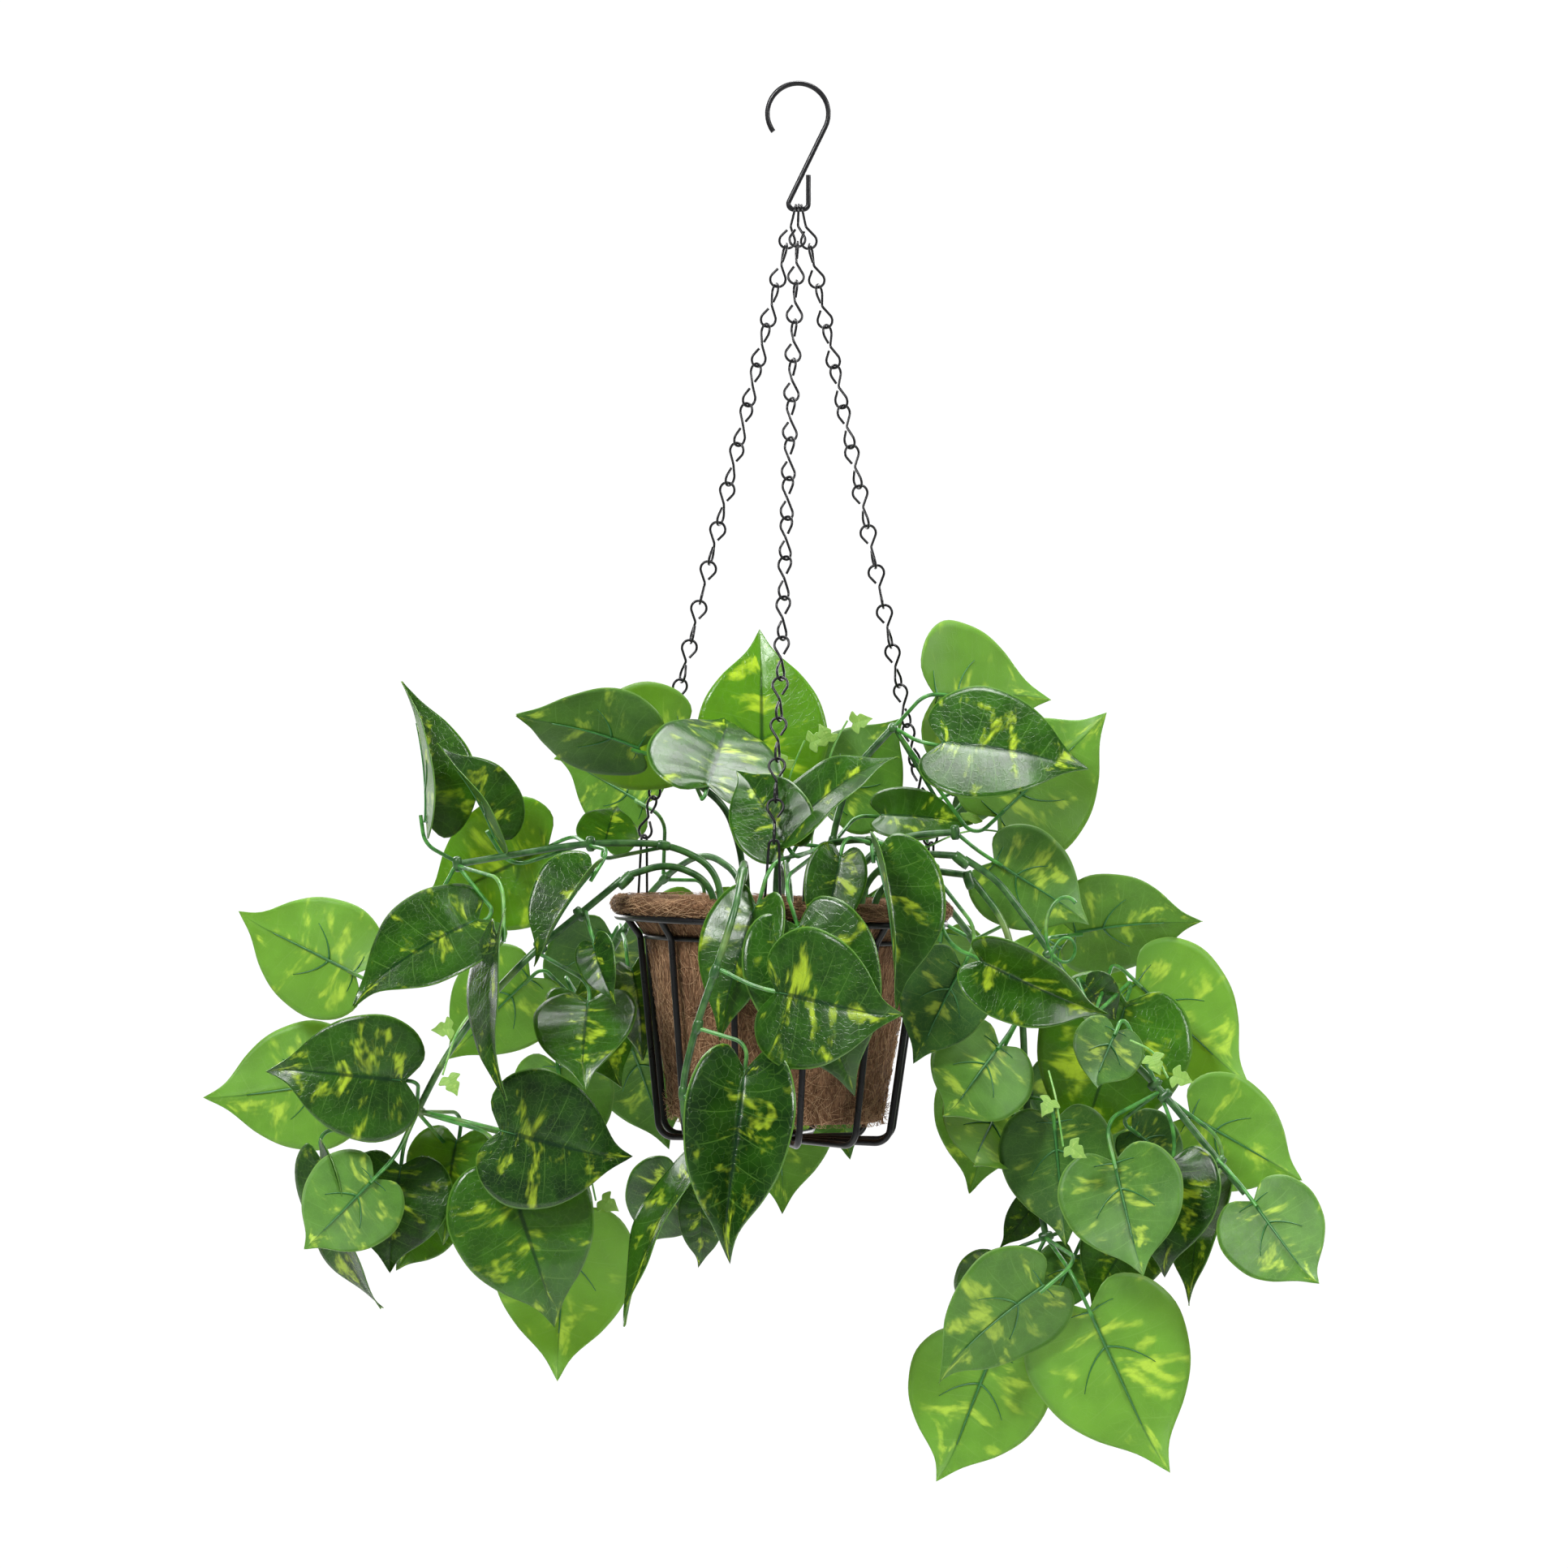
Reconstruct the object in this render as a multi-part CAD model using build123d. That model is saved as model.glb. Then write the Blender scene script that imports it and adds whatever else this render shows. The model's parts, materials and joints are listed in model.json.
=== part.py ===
from build123d import *
import os
from math import asin, cos, hypot, radians, sin, sqrt, tan

# Hanging basket with artificial pothos.  Millimetres, +Z up, -Y is the front.
# Origin: the point inside the hook's top bend that bears on a ceiling eye or bracket.

# ---------------------------------------------------------------- hook
HOOK_WIRE = 3.2
HOOK_INNER_R = 17.0
HOOK_MOUTH_ANGLE = 216.0
HOOK_SHANK_ANGLE = -26.0
HOOK_LOOP_Z = -75.4
HOOK_LEG_X = 6.4
HOOK_LEG_TOP_Z = -54.5
HOOK_LOOP_BEND = 3.4

# ---------------------------------------------------------------- chains
LINK_WIRE = 1.6
LINK_PITCH = 25.2
LINK_LOOP_R = 4.7
LINK_WAIST_BEND = 2.6
LINK_COUNT = 16
LINK_GAP = 0.1
TOP_LINK_GAP = 1.0
CHAIN_AZIMUTH = {"left": -123.0, "front": -3.0, "right": 117.0}
CHAIN_TOP_X = {"left": -2.3, "front": 0.0, "right": 2.3}
CHAIN_TWIST = {"left": 147.0, "front": 87.0, "right": -153.0}

# ---------------------------------------------------------------- hung assembly
# It hangs from the middle of the hook's small loop and leans with its own balance.
PIVOT = (0.4, 0.0, HOOK_LOOP_Z)
LEAN = 1.4
RING_Z = -434.1
RING_R = 100.0
RING_WIRE = 4.0
NECK_Z = -445.6
RIB_NECK_R = 87.0
NECK_WIRE = 3.0
RIB_WIRE = 4.0
RIB_FOOT_R = 72.0
RIB_FOOT_Z = -567.6
RIB_FOOT_BEND = 10.0
RIB_NECK_BEND = 6.0
RIB_COUNT = 12
FIRST_RIB_AZIMUTH = 11.0
SPOKE_END_R = 10.0
CENTRE_RING_R = 14.0
CENTRE_RING_WIRE = 3.0
TOUCH_GAP = 0.05

CLIP_R = 103.1
CLIP_HOOK_R = 3.1
CLIP_HALF_WIDTH = 5.5
CLIP_TOP_HALF_WIDTH = 2.8
CLIP_TOP_BEND = 2.4

LIP_TOP_Z = -421.6
LIP_BOTTOM_Z = -431.6
LIP_R = 103.75
LINER_WALL = 5.8
LINER_MOUTH_R = 92.0
LINER_NECK_R = 81.3
LINER_FOOT_R = 64.0
LINER_FOOT_Z = -555.6
FOAM_TOP_Z = -432.6
FOAM_BOTTOM_Z = -490.0
FOAM_GAP = 0.6

# ---------------------------------------------------------------- foliage
STEM_R = 2.1
PETIOLE_R = 1.2
TENDRIL_R = 0.6
LEAF_T = 0.6
LEAF_MODEL_LENGTH = 90.0
PETIOLE_MIN = 28.0
HINGE_GAP = 3.0

hung = Pos(*PIVOT) * Rot(0, LEAN, 0)
nodes = {}


def tangent_radii(points, share=0.45):
    """Largest sensible bend at each corner: a share of the shorter run beside it."""
    radii = []
    for before, corner, after in zip(points, points[1:], points[2:]):
        run_in = Vector(*corner) - Vector(*before)
        run_out = Vector(*after) - Vector(*corner)
        half_turn = radians(max(run_in.get_angle(run_out), 0.5)) / 2
        radii.append(share * min(run_in.length, run_out.length) / tan(half_turn))
    return radii


def wire(points, radii, thickness):
    """Round wire or stem along straight runs joined by tangent bends."""
    if len(points) == 2:
        path = Line(*points)
    else:
        path = FilletPolyline(*points, radius=radii)
    section = Plane(origin=path @ 0, z_dir=path % 0) * Circle(thickness / 2)
    return sweep(section, path=path).solid()


def place(node, solids):
    """Keep the solids of one named piece."""
    nodes.setdefault(node, []).extend(solids)


def on_circle(radius, azimuth, z):
    """Point at an azimuth measured from the front (-Y) towards +X."""
    return (radius * sin(radians(azimuth)), -radius * cos(radians(azimuth)), z)


# ================================================================ hook
def ceiling_hook():
    mean_r = HOOK_INNER_R + HOOK_WIRE / 2
    centre = (0.0, -HOOK_INNER_R)
    bend = CenterArc(centre, mean_r, HOOK_MOUTH_ANGLE, HOOK_SHANK_ANGLE - HOOK_MOUTH_ANGLE)
    start = bend @ 1
    direction = bend % 1
    reach = (HOOK_LOOP_Z - start.Y) / direction.Y
    foot = start + direction * reach
    lower = FilletPolyline(
        (start.X, start.Y),
        (foot.X, HOOK_LOOP_Z),
        (HOOK_LEG_X, HOOK_LOOP_Z),
        (HOOK_LEG_X, HOOK_LEG_TOP_Z),
        radius=[HOOK_LOOP_BEND, HOOK_LOOP_BEND],
    )
    path = Plane.XZ * Wire([*bend.edges(), *lower.edges()])
    section = Plane(origin=path @ 0, z_dir=path % 0) * Circle(HOOK_WIRE / 2)
    place("ceiling_hook", [sweep(section, path=path).solid()])


# ================================================================ chains
def chain_link():
    """Single jack chain link: two open teardrop loops at right angles.

    Its origin is the inside of the upper loop, and it hangs down local -Z.
    The upper loop lies in local YZ and the lower one in local XZ.
    """
    half = (LINK_PITCH + LINK_WIRE) / 2
    spread = half * tan(asin(LINK_LOOP_R / (half - LINK_LOOP_R))) * 0.985
    side = spread / half
    end_z = 2.4
    points = [
        (0, -end_z * side, end_z),
        (0, -spread, half),
        (0, spread, half),
        (0, 0, 0),
        (spread, 0, -half),
        (-spread, 0, -half),
        (-end_z * side, 0, -end_z),
    ]
    loop_bend = LINK_LOOP_R * 0.97
    radii = [loop_bend, loop_bend, LINK_WAIST_BEND, loop_bend, loop_bend]
    return Pos(0, 0, -LINK_PITCH / 2) * wire(points, radii, LINK_WIRE)


def clip_top(side):
    """Centre of the clip's top bend, where the chain of LINK_COUNT links ends."""
    gaps = LINK_GAP * (LINK_COUNT - 1) + TOP_LINK_GAP
    length = LINK_COUNT * LINK_PITCH - gaps - HOOK_WIRE / 2 - LINK_GAP - LINK_WIRE / 2
    x, y, _ = on_circle(CLIP_R, CHAIN_AZIMUTH[side], 0)
    across = hypot(x - CHAIN_TOP_X[side], y)
    return Vector(x, y, -sqrt(length**2 - across**2))


def chain(side, link):
    top = Vector(CHAIN_TOP_X[side], 0, 0)
    up = (top - clip_top(side)).normalized()
    sideways = (Vector(1, 0, 0) - up * up.X).normalized()
    bearing = HOOK_WIRE / 2 + LINK_GAP
    for index in range(LINK_COUNT):
        twist = CHAIN_TWIST[side] * index / (LINK_COUNT - 1)
        seat = Plane(origin=top + up * bearing, x_dir=sideways, z_dir=up)
        solid = hung * seat.location * Rot(0, 0, twist) * link
        place(f"{side}_top_link" if index == 0 else f"{side}_chain", [solid])
        bearing -= LINK_PITCH - (TOP_LINK_GAP if index == 0 else LINK_GAP)


def rim_clip(side):
    """Hairpin through the last link, with both legs hooked under the top ring."""
    hook_z = RING_Z - CLIP_HOOK_R
    inner_r = CLIP_R - 2 * CLIP_HOOK_R
    top_z = clip_top(side).Z
    leg = [
        (CLIP_HALF_WIDTH, -inner_r, RING_Z + 1.4),
        (CLIP_HALF_WIDTH, -inner_r, hook_z),
        (CLIP_HALF_WIDTH, -CLIP_R, hook_z),
        (CLIP_TOP_HALF_WIDTH, -CLIP_R, top_z),
    ]
    other_leg = [(-x, y, z) for x, y, z in reversed(leg)]
    bend = CLIP_HOOK_R * 0.97
    radii = [bend, bend, CLIP_TOP_BEND, CLIP_TOP_BEND, bend, bend]
    solid = wire(leg + other_leg, radii, LINK_WIRE)
    place(f"{side}_rim_clip", [hung * Rot(0, 0, CHAIN_AZIMUTH[side]) * solid])


# ================================================================ frame
def ring(node, radius, z, thickness):
    place(node, [hung * Pos(0, 0, z) * Torus(radius, thickness / 2).solid()])


def basket_frame():
    ring("top_ring", RING_R, RING_Z, RING_WIRE)
    neck_r = RIB_NECK_R - (RIB_WIRE + NECK_WIRE) / 2 - TOUCH_GAP
    ring("neck_ring", neck_r, NECK_Z, NECK_WIRE)
    centre_z = RIB_FOOT_Z + (RIB_WIRE + CENTRE_RING_WIRE) / 2 + TOUCH_GAP
    ring("centre_ring", CENTRE_RING_R, centre_z, CENTRE_RING_WIRE)
    rib_top_r = RING_R - (RING_WIRE + RIB_WIRE) / 2 - TOUCH_GAP
    points = [
        (0, -rib_top_r, RING_Z),
        (0, -RIB_NECK_R, NECK_Z),
        (0, -RIB_FOOT_R, RIB_FOOT_Z),
        (0, -SPOKE_END_R, RIB_FOOT_Z),
    ]
    rib = wire(points, [RIB_NECK_BEND, RIB_FOOT_BEND], RIB_WIRE)
    for index in range(RIB_COUNT):
        azimuth = FIRST_RIB_AZIMUTH + index * 360 / RIB_COUNT
        place(f"rib_{index + 1:02d}", [hung * Rot(0, 0, azimuth) * rib])


# ================================================================ liner and foam
def coir_liner():
    lip_mid = (LIP_TOP_Z + LIP_BOTTOM_Z) / 2
    lip_round = (LIP_TOP_Z - LIP_BOTTOM_Z) / 2
    inner_neck_r = LINER_NECK_R - LINER_WALL
    inner_foot_r = LINER_FOOT_R - LINER_WALL
    mouth_r = LINER_MOUTH_R - LINER_WALL - 2
    floor_z = LINER_FOOT_Z + LINER_WALL
    shell = Polyline(
        (LIP_R - lip_round, LIP_BOTTOM_Z),
        (LINER_MOUTH_R, LIP_BOTTOM_Z),
        (LINER_NECK_R, NECK_Z),
        (LINER_FOOT_R, LINER_FOOT_Z),
        (0, LINER_FOOT_Z),
        (0, floor_z),
        (inner_foot_r, floor_z),
        (inner_neck_r, NECK_Z),
        (mouth_r, LIP_TOP_Z),
        (LIP_R - lip_round, LIP_TOP_Z),
    )
    rolled_edge = ThreePointArc(shell @ 1, (LIP_R, lip_mid), shell @ 0)
    profile = Plane.XZ * make_face([*shell.edges(), *rolled_edge.edges()])
    solid = revolve(profile, axis=Axis.Z).solid()
    place("coir_liner", [hung * solid])


def foam_block():
    """Tapered plug of foam wedged in the upper half of the liner."""
    neck_r = LINER_NECK_R - LINER_WALL - FOAM_GAP
    taper = (LINER_NECK_R - LINER_FOOT_R) / (NECK_Z - LINER_FOOT_Z - LINER_WALL)
    outline = Polyline(
        (0, FOAM_TOP_Z),
        (neck_r + (FOAM_TOP_Z - NECK_Z) * 0.3, FOAM_TOP_Z),
        (neck_r, NECK_Z),
        (neck_r - (NECK_Z - FOAM_BOTTOM_Z) * taper, FOAM_BOTTOM_Z),
        (0, FOAM_BOTTOM_Z),
        close=True,
    )
    solid = hung * revolve(make_face(Plane.XZ * outline), axis=Axis.Z)
    place("foam_block", [solid.solid()])


# ================================================================ leaves
def leaf_model(width, fold):
    """Heart-shaped blade of LEAF_MODEL_LENGTH: base at the origin, tip on +X, top side +Z."""
    size = LEAF_MODEL_LENGTH
    stretch = size * width / 0.9
    margin = Spline(
        (0, 0),
        (-0.10 * size, 0.15 * stretch),
        (-0.03 * size, 0.34 * stretch),
        (0.17 * size, 0.45 * stretch),
        (0.43 * size, 0.425 * stretch),
        (0.69 * size, 0.275 * stretch),
        (0.89 * size, 0.10 * stretch),
        (size, 0),
        tangents=[(-1, 0.9), (1, -0.6)],
    )
    half_face = make_face([*margin.edges(), *Line((size, 0), (0, 0)).edges()])
    column = extrude(Pos(0, 0, -size / 2) * half_face, amount=1.4 * size)
    low_arc = ThreePointArc((-0.16 * size, -0.035 * size), (0.42 * size, 0.06 * size), (1.02 * size, 0))
    high_arc = Pos(0, LEAF_T) * low_arc
    strip = make_face([
        *low_arc.edges(),
        *Line(low_arc @ 1, high_arc @ 1).edges(),
        *high_arc.edges(),
        *Line(high_arc @ 0, low_arc @ 0).edges(),
    ])
    rise = (0, cos(radians(fold)), sin(radians(fold)))
    sheet = extrude(Plane.XZ * strip, amount=0.8 * size, dir=rise)
    half = column & sheet
    return (half + mirror(half, about=Plane.XZ)).solid()


LEAF_SHAPES = {
    "round": (1.02, 7),
    "broad": (0.90, 9),
    "slim": (0.62, 12),
    "narrow": (0.74, 14),
    "folded": (0.56, 44),
}


def leaf_frame(base, tip, roll):
    """Plane at the leaf's base: X to the tip, Z out of its top side.

    With no roll the top side faces the front as squarely as it can.
    """
    along = (Vector(*tip) - Vector(*base)).normalized()
    front = Vector(0, -1, 0)
    facing = (front - along * front.dot(along)).normalized()
    return Plane(origin=base, x_dir=along, z_dir=facing.rotate(Axis((0, 0, 0), tuple(along)), roll))


def leaf_solid(models, shape, base, tip, roll):
    length = (Vector(*tip) - Vector(*base)).length
    sized = scale(models[shape], by=length / LEAF_MODEL_LENGTH)
    return (leaf_frame(base, tip, roll).location * sized).solid()


def petiole(start_corner, base, tip, roll):
    """Leaf stalk from beside the stem, bent to run in under the blade."""
    frame = leaf_frame(base, tip, roll)
    under = frame.origin - frame.z_dir * (PETIOLE_R + 0.5)
    end = under + frame.x_dir * 7
    corner = Vector(*start_corner)
    away = (under - corner).normalized()
    start = corner + away * (STEM_R + PETIOLE_R * 0.6)
    run = (under - start).length
    turn = away.get_angle(frame.x_dir)
    lead = 0.38 if turn < 75 else 0.22
    middle = under - frame.x_dir * (lead * run)
    points = [tuple(start), tuple(middle), tuple(end)]
    return wire(points, tangent_radii(points, 0.42), 2 * PETIOLE_R)


def stem_corners(route):
    """Where the stem really passes each corner of its route: inside the bend."""
    corners = []
    for before, corner, after in zip(route, route[1:], route[2:]):
        a, b, c = Vector(*before), Vector(*corner), Vector(*after)
        half_turn = radians((b - a).get_angle(c - b)) / 2
        radius = 0.45 * min((b - a).length, (c - b).length) / tan(max(half_turn, 0.004))
        inward = ((a - b).normalized() + (c - b).normalized())
        inward = inward.normalized() if inward.length > 1e-6 else Vector(0, 0, 0)
        corners.append(b + inward * radius * (1 / cos(half_turn) - 1))
    return corners + [Vector(*route[-1])]


def attachment(corners, base):
    """The corner of the stem that a leaf's stalk grows from."""
    target = Vector(*base)
    far_enough = [c for c in corners if (c - target).length > PETIOLE_MIN]
    return min(far_enough, key=lambda c: (c - target).length)


# ================================================================ vines
# Each vine is a stem route and its leaves: shape, base, tip and roll about the midrib.
# Crown vines stay with the basket.  Trailing ones bend by hand where they cross the rim.
CROWN_Z = -525.0

CROWN_VINES = {
    "left_upper_vine": {
        "route": [(-45, 0, CROWN_Z), (-49, -2, -478), (-78, -8, -463), (-126, -18, -462),
                  (-171, -24, -469), (-206, -28, -475)],
        "leaves": [
            ("folded", (-226, -30, -452), (-238, -25, -366), 62),
            ("folded", (-184, -20, -460), (-217, -48, -404), 60),
            ("broad", (-151, 12, -464), (-230, 27, -502), 0),
            ("broad", (-119, 4, -466), (-113, 36, -440), 0),
            ("broad", (-190, -52, -508), (-267, -62, -556), 48),
            ("slim", (-176, -97, -513), (-174, -124, -610), 70),
            ("broad", (-268, -10, -543), (-340, -15, -507), 180),
            ("folded", (-122, -58, -478), (-156, -74, -534), 50),
        ],
    },
    "top_left_vine": {
        "route": [(-32, 18, CROWN_Z), (-34, 16, -470), (-44, 4, -440), (-64, 0, -424)],
        "leaves": [
            ("broad", (-95, 0, -406), (-171, -22, -387), 135),
            ("broad", (-70, 22, -396), (-148, 22, -413), 155),
            ("round", (-55, -50, -430), (-42, 16, -386), 0),
        ],
    },
    "top_vine": {
        "route": [(-12, 34, CROWN_Z), (-14, 36, -484), (-8, 44, -450)],
        "leaves": [
            ("broad", (-22, 46, -421), (-23, 52, -332), 0),
            ("broad", (22, 62, -440), (64, 84, -384), 180),
        ],
    },
    "top_right_vine": {
        "route": [(18, 12, CROWN_Z), (20, 10, -462), (32, 4, -420), (58, 0, -392)],
        "leaves": [
            ("broad", (84, 0, -372), (156, 70, -371), 180),
            ("broad", (85, -22, -402), (174, -28, -418), -35),
            ("broad", (121, 10, -448), (190, 22, -385), 180),
            ("slim", (106, 60, -434), (148, 72, -382), 0),
            ("slim", (50, 30, -446), (108, 44, -452), -30),
        ],
    },
    "right_upper_vine": {
        "route": [(34, 6, CROWN_Z), (37, 4, -474), (64, 2, -458), (96, 0, -456)],
        "leaves": [
            ("broad", (119, 5, -473), (178, -1, -510), 180),
        ],
    },
    "front_short_vine": {
        "route": [(4, -34, CROWN_Z), (5, -38, -480), (12, -62, -463), (44, -78, -458), (80, -90, -478)],
        "leaves": [
            ("slim", (-24, -109, -496), (-46, -113, -576), 28),
            ("narrow", (-1, -119, -508), (32, -123, -608), 0),
            ("slim", (25, -104, -468), (13, -112, -524), 0),
            ("folded", (45, -98, -466), (56, -116, -557), -50),
            ("narrow", (-6, -95, -464), (-34, -57, -418), 0),
            ("narrow", (-6, -84, -456), (57, -92, -409), -60),
            ("folded", (106, -100, -530), (181, -98, -564), 10),
            ("broad", (98, -84, -534), (70, -92, -592), 165),
        ],
    },
}

CROWN_VINES["back_left_vine"] = {
    "route": [(-30, 34, CROWN_Z), (-34, 38, -484), (-58, 74, -468), (-84, 106, -484), (-112, 124, -520),
              (-136, 132, -568)],
    "leaves": [
        ("broad", (-104, 48, -540), (-98, 56, -598), -50),
        ("broad", (-140, 72, -556), (-112, 66, -616), -30),
        ("broad", (-60, 128, -500), (-64, 138, -580), 160),
        ("broad", (-118, 150, -522), (-150, 172, -588), 150),
        ("broad", (-168, 112, -548), (-222, 118, -602), 170),
        ("broad", (-152, 122, -604), (-146, 124, -676), 190),
        ("broad", (-108, 144, -590), (-84, 158, -660), 190),
        ("broad", (-96, 96, -440), (-150, 126, -410), 170),
    ],
}

CROWN_VINES["back_right_vine"] = {
    "route": [(26, 36, CROWN_Z), (30, 40, -484), (52, 76, -468), (80, 104, -486), (112, 118, -524),
              (142, 120, -572)],
    "leaves": [
        ("broad", (44, 122, -496), (36, 134, -578), 190),
        ("broad", (92, 142, -520), (84, 168, -590), 200),
        ("broad", (150, 98, -520), (212, 104, -562), 190),
        ("broad", (172, 112, -600), (206, 118, -668), 180),
        ("broad", (126, 120, -612), (112, 124, -686), 170),
        ("broad", (100, 84, -430), (150, 112, -408), 200),
    ],
}

CROWN_VINES["back_vine"] = {
    "route": [(-4, 48, CROWN_Z), (-5, 52, -488), (-8, 84, -474), (-10, 112, -492), (-12, 126, -536),
              (-14, 130, -584)],
    "leaves": [
        ("broad", (-12, 158, -520), (-6, 180, -598), 180),
        ("broad", (20, 130, -590), (34, 132, -664), 170),
        ("broad", (-42, 126, -604), (-50, 126, -682), 190),
        ("broad", (-14, 140, -620), (-8, 148, -700), 180),
        ("broad", (14, 104, -440), (34, 152, -404), 180),
    ],
}

TRAILING_VINES = {
    "left_trailing_vine": {
        "root": [(-48, -26, CROWN_Z), (-52, -28, -486), (-78, -36, -474), (-104, -42, -482)],
        "route": [(-104, -42, -482), (-128, -46, -502), (-158, -50, -526), (-192, -54, -562),
                  (-214, -56, -594), (-228, -58, -622)],
        "leaves": [
            ("slim", (-122, -78, -521), (-109, -98, -556), 20),
            ("broad", (-126, -50, -557), (-128, -96, -607), 10),
            ("broad", (-277, 12, -609), (-363, 16, -621), 180),
            ("broad", (-232, -84, -603), (-314, -90, -594), 0),
            ("round", (-179, -82, -632), (-101, -74, -652), 0),
            ("broad", (-251, -82, -660), (-290, -118, -700), 180),
            ("slim", (-286, -58, -649), (-253, -62, -740), 60),
            ("round", (-239, -46, -655), (-247, -50, -719), 0),
            ("broad", (-220, -8, -682), (-244, -12, -722), 0),
            ("broad", (-206, -26, -641), (-214, -32, -704), 20),
            ("broad", (-174, -60, -659), (-144, -58, -750), 0),
            ("broad", (-141, -22, -692), (-147, -20, -787), 180),
        ],
    },
    "right_trailing_vine": {
        "root": [(36, -24, CROWN_Z), (40, -26, -484), (66, -30, -468), (98, -34, -470)],
        "route": [(98, -34, -470), (120, -36, -484), (150, -38, -524), (176, -42, -568),
                  (218, -48, -610), (250, -54, -650), (268, -58, -672)],
        "leaves": [
            ("broad", (169, 32, -519), (248, 26, -512), -150),
            ("broad", (207, 30, -547), (276, 30, -612), 180),
            ("broad", (238, -4, -628), (306, -10, -667), 180),
            ("broad", (270, -74, -674), (304, -112, -722), 180),
            ("slim", (252, -36, -666), (235, -56, -738), 55),
            ("round", (187, -88, -649), (202, -112, -715), 180),
            ("broad", (174, -14, -548), (195, 0, -570), 0),
            ("broad", (202, 12, -558), (170, 10, -656), 0),
            ("broad", (191, -60, -573), (175, -90, -606), 180),
            ("broad", (202, -22, -636), (236, -30, -661), 180),
            ("broad", (225, -52, -650), (220, -58, -721), 20),
        ],
    },
    "right_hanging_vine": {
        "root": [(44, -10, CROWN_Z), (48, -10, -490), (72, -12, -478), (104, -16, -482)],
        "route": [(104, -16, -482), (126, -18, -510), (136, -22, -560), (138, -24, -615),
                  (142, -28, -660), (150, -32, -700)],
        "leaves": [
            ("broad", (122, -56, -582), (88, -104, -624), 180),
            ("broad", (124, -6, -622), (104, -62, -655), 180),
            ("broad", (154, -44, -628), (161, -50, -703), 180),
            ("broad", (173, -66, -739), (218, -70, -837), 180),
            ("round", (117, -50, -768), (87, -55, -845), 180),
            ("broad", (148, -90, -723), (82, -96, -778), 150),
            ("broad", (125, -24, -717), (104, 2, -756), 0),
            ("broad", (206, -28, -691), (176, -30, -742), 0),
            ("slim", (146, -4, -680), (124, -6, -709), 0),
            ("broad", (168, -20, -712), (150, -24, -750), 180),
        ],
    },
    "front_trailing_vine": {
        "root": [(-30, -46, CROWN_Z), (-31, -50, -486), (-32, -82, -472), (-33, -110, -478)],
        "route": [(-33, -110, -478), (-37, -136, -500), (-48, -138, -534), (-60, -132, -568),
                  (-69, -122, -606), (-64, -118, -640)],
        "leaves": [
            ("folded", (-31, -146, -591), (-45, -158, -702), 0),
            ("round", (-14, -152, -547), (58, -182, -562), 0),
            ("broad", (-70, -104, -655), (-92, -80, -700), 0),
            ("slim", (-57, -104, -668), (-57, -98, -712), 0),
            ("slim", (-60, -142, -650), (-101, -150, -740), 75),
        ],
    },
}

# Fine tendrils with small ivy-like leaves: route, then leaf places along it.
SPRIGS = {
    "crown_sprigs": [
        [(6, -6, -496), (10, -14, -440), (22, -20, -402), (30, -22, -388)],
        [(-6, 2, -496), (-12, -4, -448), (-4, -8, -418), (4, -10, -400)],
        [(46, 22, -496), (70, 30, -470), (108, 30, -452), (150, 26, -462)],
    ],
    "left_sprigs": [
        [(-190, -68, -556), (-204, -74, -574), (-212, -76, -600)],
        [(-150, -40, -640), (-128, -38, -650), (-122, -38, -678)],
    ],
    "right_sprigs": [
        [(148, -100, -596), (152, -108, -612), (156, -110, -640)],
        [(196, -100, -578), (210, -104, -584), (218, -106, -600)],
    ],
}


def vine_pieces(name, route, leaves, models):
    corners = stem_corners(route)
    stalks = [petiole(attachment(corners, base), base, tip, roll) for _, base, tip, roll in leaves]
    place(name, [wire(route, tangent_radii(route), 2 * STEM_R)] + stalks)
    place(f"{name}_leaves", [leaf_solid(models, *leaf) for leaf in leaves])


def shortened_start(route, gap):
    """The same route, starting a gap further along its first run."""
    first = Vector(*route[0])
    run = (Vector(*route[1]) - first).normalized()
    return [tuple(first + run * gap)] + route[1:]


def sprig(route, models):
    points = [Vector(*p) for p in route]
    solids = [wire(route, tangent_radii(route), 2 * TENDRIL_R)]
    side = 1
    for before, point in zip(points, points[1:]):
        run = (point - before).normalized()
        across = Vector(run.Z, 0, -run.X) * side
        base = point + across * 3.5
        tip = base + across * 9 + run * 9
        solids.append(leaf_solid(models, "broad", tuple(base), tuple(tip), 0))
        side = -side
    return solids


def foliage():
    models = {name: leaf_model(*shape) for name, shape in LEAF_SHAPES.items()}
    for name, vine in CROWN_VINES.items():
        vine_pieces(name, vine["route"], vine["leaves"], models)
    for name, vine in TRAILING_VINES.items():
        root = vine["root"]
        place(f"{name}_root", [wire(root, tangent_radii(root), 2 * STEM_R)])
        vine_pieces(name, shortened_start(vine["route"], HINGE_GAP), vine["leaves"], models)
    for name, routes in SPRIGS.items():
        for route in routes:
            place(name, sprig(route, models))


def main():
    ceiling_hook()
    link = chain_link()
    for side in CHAIN_AZIMUTH:
        chain(side, link)
        rim_clip(side)
    basket_frame()
    coir_liner()
    foam_block()
    foliage()
    os.makedirs("parts", exist_ok=True)
    for node, solids in nodes.items():
        export_step(Compound(children=solids), f"parts/{node}.step")
        print(node, len(solids), "solids", round(sum(s.volume for s in solids)), "mm3")


main()
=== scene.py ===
import json
import math

import bpy
import numpy as np
from mathutils import Matrix, Vector, kdtree


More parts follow.
